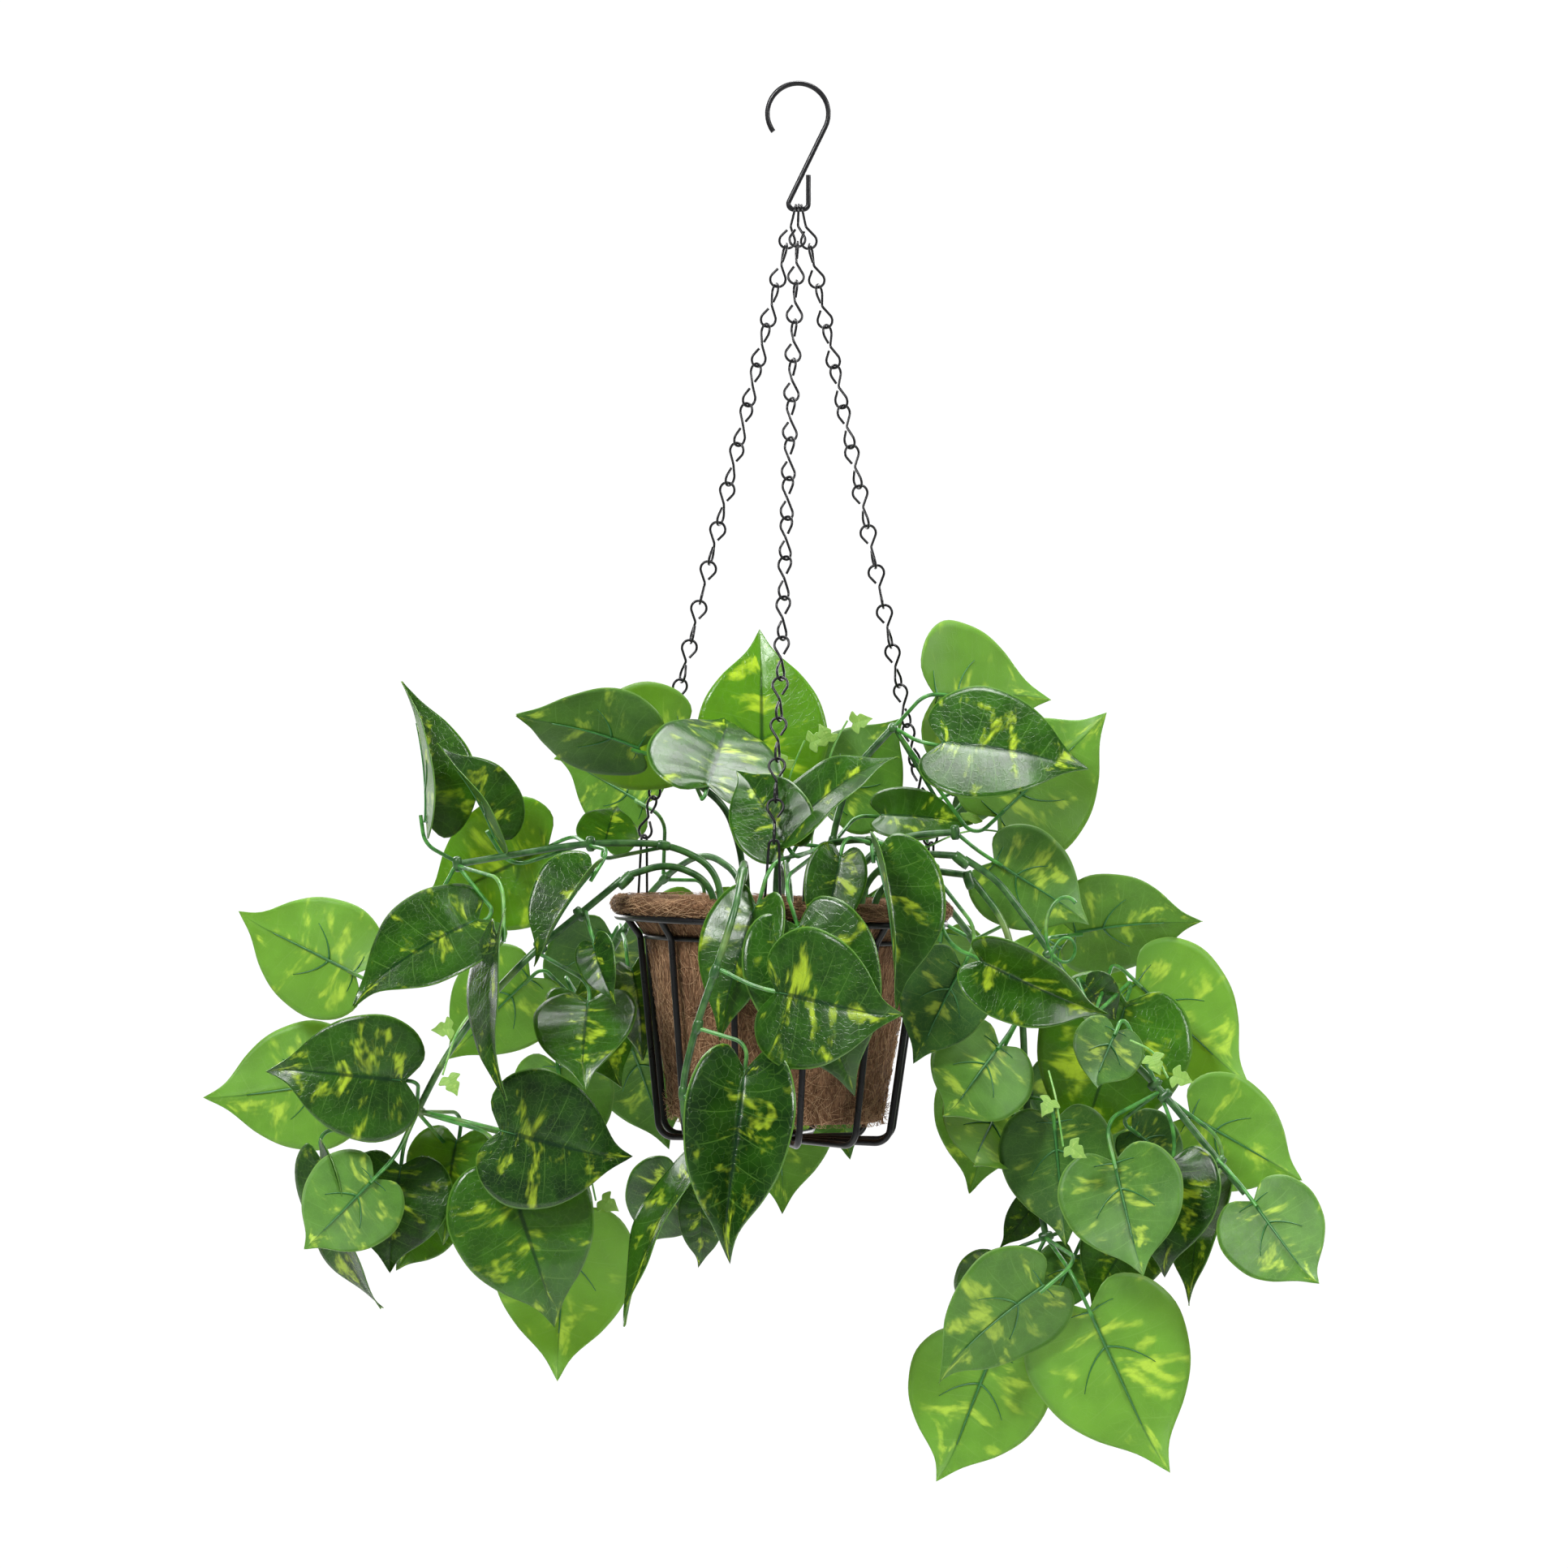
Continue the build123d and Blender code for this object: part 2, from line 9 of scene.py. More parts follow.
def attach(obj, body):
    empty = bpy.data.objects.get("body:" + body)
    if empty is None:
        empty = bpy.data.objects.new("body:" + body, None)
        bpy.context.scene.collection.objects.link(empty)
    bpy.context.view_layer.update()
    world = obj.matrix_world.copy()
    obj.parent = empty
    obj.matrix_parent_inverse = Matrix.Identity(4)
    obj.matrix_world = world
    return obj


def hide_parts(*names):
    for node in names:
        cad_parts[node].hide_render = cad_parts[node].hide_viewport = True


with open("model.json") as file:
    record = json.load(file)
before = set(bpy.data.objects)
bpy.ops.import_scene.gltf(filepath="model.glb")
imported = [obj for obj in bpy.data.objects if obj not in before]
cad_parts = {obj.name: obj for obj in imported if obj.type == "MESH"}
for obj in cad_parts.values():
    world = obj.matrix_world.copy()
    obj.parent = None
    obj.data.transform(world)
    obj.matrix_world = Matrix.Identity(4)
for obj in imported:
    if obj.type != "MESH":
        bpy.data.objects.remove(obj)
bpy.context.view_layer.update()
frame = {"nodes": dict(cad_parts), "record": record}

# ---------------------------------------------------------------- dimensions, metres
# The basket hangs from the hook's lower eye, a little towards -X.
PIVOT = Vector((0.0004, 0.0, -0.0754))
LEAN = math.radians(1.4)
HUNG = Matrix.Translation(PIVOT) @ Matrix.Rotation(LEAN, 4, "Y")

LEAF_THICKNESS = 0.00050
LEAF_ROWS = 34
LEAF_COLUMNS = 10               # on each side of the midrib
SPINE_RADIUS = 0.00125
VEIN_PAIRS = 8

STEM_RADIUS = 0.0021
COLLAR_RADIUS = 0.0031
COLLAR_HALF_LENGTH = 0.0045
COLLAR_SEARCH = 0.0065          # how far round a stalk's foot the stem is sampled
COLLAR_SPACING = 0.004          # stalks closer than this share one collar
SLEEVE_STATIONS = (-0.0055, -0.0035, 0.0, 0.0035, 0.0055)
SLEEVE_RADII = (0.0029, 0.0033, 0.0034, 0.0033, 0.0029)
SLEEVE_SAMPLE = 14              # points that give the middle of a cut stem end

TENDRIL_POINTS = 60
TENDRIL_TURNS = 1.7
TENDRIL_START = (0.158, -0.052, -0.507)
TENDRIL_SIZE = 0.0105
IVY_LEAF_LIMIT = 0.022          # a longer piece of a sprig is its thread, not a leaf

LIP_TOP = -0.4216
LIP_BOTTOM = -0.4316
LIP_MIDDLE = (LIP_TOP + LIP_BOTTOM) / 2
LIP_ROUND = (LIP_TOP - LIP_BOTTOM) / 2
LIP_RADIUS = 0.10375
MOUTH_RADIUS = 0.0920
NECK_Z = -0.4456
NECK_RADIUS = 0.0813
FOOT_Z = -0.5556
FOOT_RADIUS = 0.0640
LINER_WALL = 0.0058
LINER_SIDES = 144
FIBRES_ON_WALL = 3000
FIBRES_ON_LIP = 900
FIBRES_ON_FOOT = 500
FIBRE_RADIUS = (0.00010, 0.00020)
PALE_FIBRE_SHARE = 0.6

scene = bpy.context.scene
scene.view_settings.view_transform = "Standard"
scene.view_settings.look = "None"


# ---------------------------------------------------------------- camera, light, stage
CAMERA_PLACE = (-0.0085, -3.1, -0.4265)
CAMERA_LENS = 116.5
SENSOR_WIDTH = 36.0
FLOOR_Z = -1.35
FLOOR_RADIUS = 2.0
LIGHTS_AIM = (0.0, 0.0, -0.5)

# Name, place, width and height in metres, power in watts.
LIGHT_BOXES = (
    ("front_box", (-1.2, -2.0, 1.1), (0.6, 0.6), 92.0),
    ("side_box", (1.8, -1.2, 0.5), (0.4, 0.9), 34.0),
    ("top_box", (0.1, 0.2, 1.3), (1.0, 0.8), 50.0),
    ("back_left_box", (-1.2, 1.9, 0.2), (1.2, 1.4), 36.0),
    ("back_right_box", (1.4, 1.8, 0.0), (1.2, 1.4), 40.0),
)

# Strength of the white backdrop: bright behind the basket, a dim band at the horizon.
SURROUND_STRENGTH = 0.09
BACKDROP_STRENGTH = 1.05
BACKDROP_EDGE = (0.30, 0.85)
HORIZON_STRENGTH = 0.36
HORIZON_EDGE = (0.10, 0.34)


def camera():
    data = bpy.data.cameras.new("camera")
    data.sensor_width = SENSOR_WIDTH
    data.lens = CAMERA_LENS
    data.clip_end = 50.0
    obj = bpy.data.objects.new("camera", data)
    obj.location = CAMERA_PLACE
    obj.rotation_euler = (math.radians(90.0), 0.0, 0.0)
    scene.collection.objects.link(obj)
    scene.camera = obj


def area_light(name, place, size, power):
    data = bpy.data.lights.new(name, "AREA")
    data.shape = "RECTANGLE"
    data.size, data.size_y = size
    data.energy = power
    obj = bpy.data.objects.new(name, data)
    obj.location = place
    aim = Vector(LIGHTS_AIM) - Vector(place)
    obj.rotation_euler = aim.to_track_quat("-Z", "Y").to_euler()
    scene.collection.objects.link(obj)


def map_range(tree, value, source, target):
    """Maps value from the range source to the range target."""
    made = tree.nodes.new("ShaderNodeMapRange")
    made.inputs["From Min"].default_value, made.inputs["From Max"].default_value = source
    made.inputs["To Min"].default_value, made.inputs["To Max"].default_value = target
    tree.links.new(value, made.inputs["Value"])
    return made.outputs["Result"]


def backdrop():
    world = bpy.data.worlds.new("studio")
    scene.world = world
    world.use_nodes = True
    tree = world.node_tree
    background = tree.nodes["Background"]
    coords = tree.nodes.new("ShaderNodeTexCoord")
    split = tree.nodes.new("ShaderNodeSeparateXYZ")
    height = tree.nodes.new("ShaderNodeMath")
    height.operation = "ABSOLUTE"
    brighter = tree.nodes.new("ShaderNodeMath")
    brighter.operation = "MAXIMUM"
    tree.links.new(coords.outputs["Generated"], split.inputs["Vector"])
    tree.links.new(split.outputs["Z"], height.inputs[0])
    behind = map_range(tree, split.outputs["Y"], BACKDROP_EDGE,
                       (SURROUND_STRENGTH, BACKDROP_STRENGTH))
    horizon = map_range(tree, height.outputs[0], HORIZON_EDGE,
                        (HORIZON_STRENGTH, SURROUND_STRENGTH))
    tree.links.new(behind, brighter.inputs[0])
    tree.links.new(horizon, brighter.inputs[1])
    tree.links.new(brighter.outputs[0], background.inputs["Strength"])
    background.inputs["Color"].default_value = (1.0, 1.0, 1.0, 1.0)


def studio():
    backdrop()
    for name, place, size, power in LIGHT_BOXES:
        area_light(name, place, size, power)
    bpy.ops.mesh.primitive_circle_add(vertices=96, radius=FLOOR_RADIUS, fill_type="NGON",
                                      location=(0.0, 0.0, FLOOR_Z))
    floor = bpy.context.object
    floor.name = "pale_floor"
    floor.data.materials.append(floor_material())


# ---------------------------------------------------------------- shader helpers
class Shader:
    """Shorthand for building one material's node tree."""

    def __init__(self, name):
        self.material = bpy.data.materials.new(name)
        self.material.use_nodes = True
        self.tree = self.material.node_tree
        self.tree.nodes.clear()
        self.out = self.tree.nodes.new("ShaderNodeOutputMaterial")

    def link(self, source, target):
        self.tree.links.new(source, target)

    def math(self, operation, a, b=None, clamp=False):
        made = self.tree.nodes.new("ShaderNodeMath")
        made.operation = operation
        made.use_clamp = clamp
        for socket, value in zip(made.inputs, (a, b)):
            if value is None:
                continue
            if isinstance(value, (int, float)):
                socket.default_value = value
            else:
                self.link(value, socket)
        return made.outputs[0]

    def step(self, value, low, high):
        """Rises smoothly from 0 at low to 1 at high."""
        made = self.tree.nodes.new("ShaderNodeMapRange")
        made.interpolation_type = "SMOOTHSTEP"
        made.inputs["From Min"].default_value = low
        made.inputs["From Max"].default_value = high
        self.link(value, made.inputs["Value"])
        return made.outputs["Result"]

    def spread(self, value, low, high):
        """Maps 0 to 1 onto low to high."""
        return map_range(self.tree, value, (0.0, 1.0), (low, high))

    def share(self, value, amount):
        return self.math("MULTIPLY", value, amount)

    def inverse(self, value):
        return self.math("SUBTRACT", 1.0, value)

    def split(self, vector):
        """The X and Y of a vector."""
        made = self.tree.nodes.new("ShaderNodeSeparateXYZ")
        self.link(vector, made.inputs["Vector"])
        return made.outputs["X"], made.outputs["Y"]

    def mix(self, amount, a, b):
        made = self.tree.nodes.new("ShaderNodeMix")
        made.data_type = "RGBA"
        if isinstance(amount, (int, float)):
            made.inputs["Factor"].default_value = amount
        else:
            self.link(amount, made.inputs["Factor"])
        for socket, value in ((made.inputs[6], a), (made.inputs[7], b)):
            if isinstance(value, tuple):
                socket.default_value = (*value, 1.0)
            else:
                self.link(value, socket)
        return made.outputs[2]

    def noise(self, vector, scale, detail=3.0, roughness=0.55, distortion=0.0):
        made = self.tree.nodes.new("ShaderNodeTexNoise")
        made.inputs["Scale"].default_value = scale
        made.inputs["Detail"].default_value = detail
        made.inputs["Roughness"].default_value = roughness
        made.inputs["Distortion"].default_value = distortion
        self.link(vector, made.inputs["Vector"])
        return made.outputs["Fac"]

    def uv(self, name):
        made = self.tree.nodes.new("ShaderNodeUVMap")
        made.uv_map = name
        return made.outputs["UV"]

    def place(self):
        return self.tree.nodes.new("ShaderNodeTexCoord").outputs["Object"]

    def scaled(self, vector, size):
        made = self.tree.nodes.new("ShaderNodeMapping")
        made.inputs["Scale"].default_value = size
        self.link(vector, made.inputs["Vector"])
        return made.outputs["Vector"]

    def bump(self, height, strength, distance, base=None):
        made = self.tree.nodes.new("ShaderNodeBump")
        made.inputs["Strength"].default_value = strength
        made.inputs["Distance"].default_value = distance
        self.link(height, made.inputs["Height"])
        if base is not None:
            self.link(base, made.inputs["Normal"])
        return made.outputs["Normal"]

    def principled(self, color, roughness, normal=None, specular=0.5):
        made = self.tree.nodes.new("ShaderNodeBsdfPrincipled")
        self.link(color, made.inputs["Base Color"])
        if isinstance(roughness, (int, float)):
            made.inputs["Roughness"].default_value = roughness
        else:
            self.link(roughness, made.inputs["Roughness"])
        made.inputs["Specular IOR Level"].default_value = specular
        if normal is not None:
            self.link(normal, made.inputs["Normal"])
        return made.outputs["BSDF"]

    def finish(self, surface):
        self.link(surface, self.out.inputs["Surface"])
        return self.material


def floor_material():
    s = Shader("pale_floor")
    grain = s.noise(s.place(), 3.0)
    return s.finish(s.principled(s.mix(grain, (0.78, 0.78, 0.78), (0.84, 0.84, 0.84)), 0.7))


def leaf_material(name, dark, light, splash, vein, groove_shade, glow, glow_share, gloss,
                  grain_strength):
    """Variegated leaf face.

    UV map veins: along the midrib from 0 to 1 plus a whole number per leaf, across from -1 to 1.
    UV map plan: flat place on the leaf, in leaf lengths, shifted for each leaf.
    UV map tint: how far the leaf's colour is moved towards the light colour, from 0 to 1; partly
    its own yellow-green tone, partly painted brightness of light shining through it.
    """
    s = Shader(name)
    veins = s.uv("veins")
    plan = s.uv("plan")
    along, across = s.split(veins)
    side = s.math("ABSOLUTE", across)

    # Yellow splashes that run along the side veins and gather at the midrib.
    blotch = s.noise(s.scaled(veins, (7.0, 1.15, 1.0)), 1.0, 3.0, 0.6, 0.4)
    fleck = s.noise(s.scaled(veins, (26.0, 3.0, 1.0)), 1.0, 4.0, 0.65, 0.2)
    near_midrib = s.share(s.inverse(side), 0.07)
    patch = s.math("ADD", s.math("ADD", blotch, s.share(fleck, 0.24)), near_midrib)
    splash_mask = s.step(patch, 0.70, 0.86)

    paleness_and_backlight, _ = s.split(s.uv("tint"))
    cloud = s.step(s.noise(plan, 5.0, 2.0), 0.30, 0.72)
    # Paler leaves are partly their own yellow-green and partly painted brightness of light
    # shining through them.
    shade = s.math("ADD", s.share(cloud, 0.30), s.share(paleness_and_backlight, 0.80), clamp=True)
    tone = s.mix(shade, dark, light)
    tone = s.mix(s.share(splash_mask, 0.85), tone, splash)

    # Side veins, the net between them, the pale cut edge, and painted shade darkening the midrib
    # groove.
    pair = s.math("FRACT", s.share(along, float(VEIN_PAIRS)))
    off = s.math("ABSOLUTE", s.math("SUBTRACT", pair, 0.5))
    rib = s.inverse(s.step(off, 0.004, 0.034))
    rib = s.math("MULTIPLY", rib, s.inverse(s.step(side, 0.55, 1.0)))
    net = s.tree.nodes.new("ShaderNodeTexVoronoi")
    net.feature = "DISTANCE_TO_EDGE"
    net.inputs["Scale"].default_value = 24.0
    s.link(plan, net.inputs["Vector"])
    mesh_line = s.inverse(s.step(net.outputs["Distance"], 0.010, 0.045))
    line = s.math("MAXIMUM", s.share(rib, 0.50), s.share(mesh_line, 0.26))
    line = s.math("MAXIMUM", line, s.share(s.step(side, 0.970, 0.985), 0.8))
    tone = s.mix(line, tone, vein)
    # Painted shade: the midrib groove is darkened towards a dark green.
    midrib = s.inverse(s.step(side, 0.015, 0.050))
    tone = s.mix(s.share(midrib, 0.75), tone, groove_shade)

    furrow = s.share(s.math("COSINE", s.share(along, VEIN_PAIRS * 2 * math.pi)), 0.5)
    normal = s.bump(furrow, 0.10, 0.0012)
    normal = s.bump(mesh_line, 0.20, 0.0003, normal)
    normal = s.bump(s.noise(plan, 170.0, 2.0), grain_strength, 0.00035, normal)
    rough = s.spread(s.noise(plan, 14.0, 3.0), gloss - 0.06, gloss + 0.10)
    face = s.principled(tone, rough, normal)

    # Light that comes through the thin blade, warmer in a pale leaf.
    through = s.tree.nodes.new("ShaderNodeBsdfTranslucent")
    warmth = s.math("ADD", s.share(paleness_and_backlight, 0.70), 0.10)
    s.link(s.mix(warmth, tone, glow), through.inputs["Color"])
    both = s.tree.nodes.new("ShaderNodeMixShader")
    both.inputs["Fac"].default_value = glow_share
    s.link(face, both.inputs[1])
    s.link(through.outputs["BSDF"], both.inputs[2])
    return s.finish(both.outputs["Shader"])


def spine_material():
    s = Shader("leaf_spine")
    tone = s.mix(s.noise(s.place(), 240.0), (0.012, 0.085, 0.014), (0.035, 0.17, 0.028))
    return s.finish(s.principled(tone, 0.38))


def stem_material(name, low, high):
    s = Shader(name)
    place = s.place()
    streak = s.noise(place, 160.0, 4.0)
    tone = s.mix(s.step(streak, 0.35, 0.65), low, high)
    pale_patch = s.step(s.noise(place, 26.0), 0.55, 0.75)
    tone = s.mix(s.share(pale_patch, 0.5), tone, (0.30, 0.42, 0.12))
    normal = s.bump(streak, 0.5, 0.0006)
    return s.finish(s.principled(tone, 0.36, normal))


def powder_coat():
    s = Shader("black_powder_coat")
    place = s.place()
    peel = s.noise(place, 900.0, 2.0)
    tone = s.mix(s.noise(place, 60.0, 4.0), (0.005, 0.005, 0.006), (0.012, 0.012, 0.013))
    rough = s.spread(s.noise(place, 130.0, 3.0), 0.20, 0.42)
    return s.finish(s.principled(tone, rough, s.bump(peel, 0.25, 0.0003), 0.28))


def coir_material(name, dark, light):
    s = Shader(name)
    place = s.place()
    fine = s.noise(s.scaled(place, (1.0, 1.0, 0.35)), 900.0, 4.0, 0.7)
    broad = s.noise(place, 45.0, 4.0)
    tone = s.mix(s.step(fine, 0.30, 0.72), dark, light)
    shadow = tuple(c * 0.45 for c in dark)
    tone = s.mix(s.share(s.step(broad, 0.45, 0.75), 0.5), tone, shadow)
    return s.finish(s.principled(tone, 0.85, s.bump(fine, 0.9, 0.0012), 0.25))


def foam_material():
    s = Shader("foam")
    cells = s.noise(s.place(), 700.0, 4.0, 0.7)
    tone = s.mix(cells, (0.05, 0.09, 0.03), (0.16, 0.24, 0.09))
    return s.finish(s.principled(tone, 0.9, s.bump(cells, 0.8, 0.0010), 0.2))


# ---------------------------------------------------------------- mesh helpers
def smooth_faces(data):
    data.polygons.foreach_set("use_smooth", [True] * len(data.polygons))


def mesh_object(name, verts, faces, materials, indices=None, uvs=None):
    data = bpy.data.meshes.new(name)
    data.from_pydata([tuple(v) for v in verts], [], faces)
    for material in materials:
        data.materials.append(material)
    if indices is not None:
        data.polygons.foreach_set("material_index", indices)
    if uvs:
        loop_verts = np.zeros(len(data.loops), np.int32)
        data.loops.foreach_get("vertex_index", loop_verts)
        for uv_name, values in uvs.items():
            layer = data.uv_layers.new(name=uv_name)
            layer.data.foreach_set("uv", np.asarray(values, np.float32)[loop_verts].ravel())
    smooth_faces(data)
    data.update()
    obj = bpy.data.objects.new(name, data)
    scene.collection.objects.link(obj)
    return obj


class Pile:
    """Collects vertices, faces, materials and UVs of many small shapes for one mesh."""

    def __init__(self):
        self.verts, self.faces, self.indices = [], [], []
        self.veins, self.plan, self.tint = [], [], []

    def add(self, verts, faces, index, veins=None, plan=None, tint=0.0):
        start = sum(len(v) for v in self.verts)
        count = len(verts)
        self.verts.append(np.asarray(verts, float))
        self.faces += [tuple(i + start for i in face) for face in faces]
        self.indices += [index] * len(faces) if isinstance(index, int) else list(index)
        self.veins.append(np.zeros((count, 2)) if veins is None else veins)
        self.plan.append(np.zeros((count, 2)) if plan is None else plan)
        self.tint.append(np.full((count, 2), tint))

    def build(self, name, materials):
        return mesh_object(name, np.vstack(self.verts), self.faces, materials, self.indices,
                           {"veins": np.vstack(self.veins), "plan": np.vstack(self.plan),
                            "tint": np.vstack(self.tint)})


def islands(obj):
    """World places of a mesh's vertices, and its connected pieces.

    Each piece is its vertex numbers and its face numbers.
    """
    data = obj.data
    count = len(data.vertices)
    co = np.zeros(count * 3)
    data.vertices.foreach_get("co", co)
    co = co.reshape(-1, 3)
    keys = np.round(co * 2e5).astype(np.int64)
    _, merged = np.unique(keys, axis=0, return_inverse=True)
    merged = merged.ravel()
    parent = np.arange(merged.max() + 1)

    def root(i):
        while parent[i] != i:
            parent[i] = parent[parent[i]]
            i = parent[i]
        return i

    for edge in data.edges:
        a, b = root(merged[edge.vertices[0]]), root(merged[edge.vertices[1]])
        if a != b:
            parent[a] = b
    groups = {}
    for face in data.polygons:
        groups.setdefault(root(merged[face.vertices[0]]), []).append(face.index)
    found = []
    for faces in groups.values():
        used = sorted({v for f in faces for v in data.polygons[f].vertices})
        found.append((np.array(used), faces))
    world = np.array(obj.matrix_world)
    placed = co @ world[:3, :3].T + world[:3, 3]
    return placed, found


def diagonal(points):
    """Diagonal of the box round some points."""
    return np.linalg.norm(points.max(0) - points.min(0))


def tree_of(points):
    tree = kdtree.KDTree(len(points))
    for i, point in enumerate(points):
        tree.insert(point, i)
    tree.balance()
    return tree


def face_centre(obj, placed, faces):
    """Centre of some faces, each counted by its area."""
    total, centre = 0.0, np.zeros(3)
    for f in faces:
        corners = placed[list(obj.data.polygons[f].vertices)]
        area = 0.5 * np.linalg.norm(np.cross(corners[1] - corners[0], corners[2] - corners[0]))
        total += area
        centre += corners.mean(0) * area
    return centre / total


def tube(path, radii, sides):
    """Closed tube along a path of points, as vertices and faces."""
    path = [Vector(p) for p in path]
    verts, faces = [], []
    normal = None
    for i, point in enumerate(path):
        ahead = path[min(i + 1, len(path) - 1)] - path[max(i - 1, 0)]
        ahead.normalize()
        if normal is None:
            normal = ahead.orthogonal().normalized()
        normal = (normal - ahead * normal.dot(ahead)).normalized()
        other = ahead.cross(normal)
        for k in range(sides):
            angle = 2 * math.pi * k / sides
            verts.append(point + (normal * math.cos(angle) + other * math.sin(angle)) * radii[i])
    for i in range(len(path) - 1):
        for k in range(sides):
            a, b = i * sides + k, i * sides + (k + 1) % sides
            faces.append((a, b, b + sides, a + sides))
    faces.append(tuple(reversed(range(sides))))
    last = (len(path) - 1) * sides
    faces.append(tuple(range(last, last + sides)))
    return np.array([tuple(v) for v in verts]), faces


def smooth_curve(knots, values, at):
    """Cubic curve through the values at the knots."""
    knots, values = np.asarray(knots, float), np.asarray(values, float)
    slope = np.gradient(values, knots)
    i = np.clip(np.searchsorted(knots, at) - 1, 0, len(knots) - 2)
    span = knots[i + 1] - knots[i]
    t = (at - knots[i]) / span
    return ((2 * t**3 - 3 * t**2 + 1) * values[i] + (t**3 - 2 * t**2 + t) * span * slope[i]
            + (3 * t**2 - 2 * t**3) * values[i + 1] + (t**3 - t**2) * span * slope[i + 1])


# ---------------------------------------------------------------- leaves
# Margin of a half leaf, in leaf lengths: where along the margin, and its place there. The ivy
# leaf has three lobes. ARCH is the lengthwise arch of the blade.
MARGIN_AT = (0.0, 0.10, 0.24, 0.385, 0.547, 0.758, 0.90, 1.0)
MARGIN_X = (0.02, -0.095, -0.035, 0.17, 0.43, 0.69, 0.875, 1.02)
MARGIN_Y = (0.0, 0.15, 0.34, 0.45, 0.425, 0.275, 0.085, 0.0)
IVY_X = (0.02, -0.10, 0.02, 0.16, 0.30, 0.52, 0.80, 1.0)
IVY_Y = (0.0, 0.20, 0.44, 0.56, 0.30, 0.34, 0.12, 0.0)
ARCH = np.polyfit((-0.16, 0.42, 1.02), (-0.035, 0.06, 0.0), 2)

# How pale each leaf is, by its place in each vine: partly the leaf's own yellow-green tone,
# partly painted brightness of light shining through the leaf.
PALE_AND_BACKLIT_LEAVES = {
    "top_vine_leaves": {0: 1.0, 1: 0.45},
    "top_left_vine_leaves": {1: 0.8},
    "top_right_vine_leaves": {0: 0.95, 2: 0.8, 4: 0.4},
    "left_upper_vine_leaves": {2: 0.9, 3: 0.5, 6: 0.95},
    "left_trailing_vine_leaves": {2: 0.85, 5: 0.55, 8: 0.5, 9: 0.6, 10: 0.45, 11: 0.95},
    "right_upper_vine_leaves": {0: 0.45},
    "right_trailing_vine_leaves": {0: 0.5, 1: 1.0, 2: 0.85, 3: 0.45, 5: 0.45, 7: 0.6},
    "right_hanging_vine_leaves": {0: 0.6, 1: 0.8, 3: 0.9, 4: 0.85, 5: 0.5},
    "back_left_vine_leaves": {2: 0.6, 4: 0.7, 5: 0.5, 7: 0.6},
    "back_right_vine_leaves": {1: 0.5, 2: 0.7, 4: 0.5},
    "back_vine_leaves": {0: 0.6, 3: 0.5},
}


def leaf_axes(obj, placed, island):
    """Base, three axes, length, fold and width of a CAD leaf blade."""
    used, faces = island
    points = placed[used]
    centre = face_centre(obj, placed, faces)
    tip = points[np.argmax(np.linalg.norm(points - centre, axis=1))]
    along = (tip - centre) / np.linalg.norm(tip - centre)
    flat = points - centre
    flat = flat - np.outer(flat @ along, along)
    _, _, axes = np.linalg.svd(flat, full_matrices=False)
    across = axes[0]
    across = across - along * (across @ along)
    across /= np.linalg.norm(across)
    reach = np.linalg.norm(tip - centre)
    midline = points[np.abs((points - centre) @ across) < 0.012 * reach]
    base = midline[np.argmax(np.linalg.norm(midline - tip, axis=1))]
    length = np.linalg.norm(tip - base)
    along = (tip - base) / length
    across = across - along * (across @ along)
    across /= np.linalg.norm(across)
    up = np.cross(along, across)
    local = (points - base) @ np.array([along, across, up]).T / length
    wide = local[np.abs(local[:, 1]) > 0.22]
    if np.mean(wide[:, 2]) < 0:
        up, across, wide = -up, -across, -wide * (-1, 1, 1)
    fold = np.mean((wide[:, 2] - np.polyval(ARCH, wide[:, 0])) / np.abs(wide[:, 1]))
    width = np.abs(local[:, 1]).max() / 0.45
    return base, along, across, up, length, max(fold, 0.05), width


def leaf_surface(width, fold, shape, rng):
    """Grid of places on the blade in leaf lengths, with its two UV maps."""
    xs, ys = shape
    t = np.linspace(0, 1, LEAF_ROWS) ** 0.92
    s = np.linspace(-1, 1, 2 * LEAF_COLUMNS + 1)
    margin_x = smooth_curve(MARGIN_AT, xs, t)
    margin_y = np.maximum(smooth_curve(MARGIN_AT, ys, t), 0.0) * width
    rib = 0.02 + 0.98 * t**1.9
    tt, ss = np.meshgrid(t, s, indexing="ij")
    reach = np.abs(ss)
    x = rib[:, None] * (1 - reach) + margin_x[:, None] * reach
    x = x + 0.035 * np.sin(math.pi * reach) * (1 - tt)
    y = np.sign(ss) * margin_y[:, None] * reach

    wave = rng.uniform(0.006, 0.016)
    twist = rng.uniform(-0.06, 0.06)
    curl = rng.uniform(-0.02, 0.10)
    phase = rng.uniform(0, 2 * math.pi, 2)
    span = np.sqrt(y**2 + 0.018**2) - 0.018
    z = np.polyval(ARCH, x) + fold * span - 0.10 * span**2
    z += wave * reach**2 * np.sin(2 * math.pi * 2.3 * tt + np.where(ss > 0, phase[0], phase[1]))
    z += twist * y * (x - 0.3)
    z -= curl * np.maximum(x - 0.62, 0) ** 2 * 2.2
    z -= 0.006 * np.exp(-(y / 0.016) ** 2)
    z += 0.0016 * np.cos(2 * math.pi * VEIN_PAIRS * tt) * reach * (1 - reach) * 4 * (1 - 0.6 * tt)
    bend = rng.uniform(-0.5, 0.5)
    y = y + bend * np.maximum(x - 0.72, 0) ** 2 * 1.2
    veins = np.stack([tt, ss], -1)
    plan = np.stack([x, y], -1)
    return np.stack([x, y, z], -1), veins, plan


